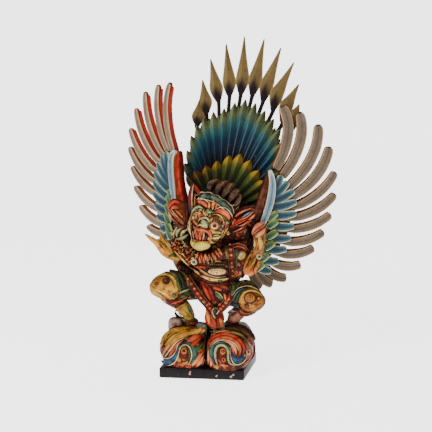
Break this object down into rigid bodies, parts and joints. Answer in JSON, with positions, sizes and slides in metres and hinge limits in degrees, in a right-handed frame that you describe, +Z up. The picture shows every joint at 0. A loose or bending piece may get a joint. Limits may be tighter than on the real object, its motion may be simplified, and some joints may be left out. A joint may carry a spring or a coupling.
{
  "type": "garuda statue",
  "caption": "Standing carved and painted wooden garuda with spread wings and a fanned tail, on a rock base.",
  "frame": {"origin": "middle of the plinth's underside", "axes": "+Z up; -Y is the statue's front and +X the viewer's right, which is the bird's own left"},
  "size_m": [0.3782, 0.2099, 0.5743],
  "materials": {
    "painted_figure": "hand-painted in ochre, brick red, teal and cream, slightly worn satin",
    "painted_wings": "hand-painted taupe, blue and green feathers with cream borders and red edges",
    "painted_tail": "hand-painted in olive, teal and near-black blue, satin"
  },
  "bodies": {
    "root": {"figure": "painted_figure", "wing_left": "painted_wings", "wing_right": "painted_wings", "tail_fan": "painted_tail"}
  },
  "joints": []
}
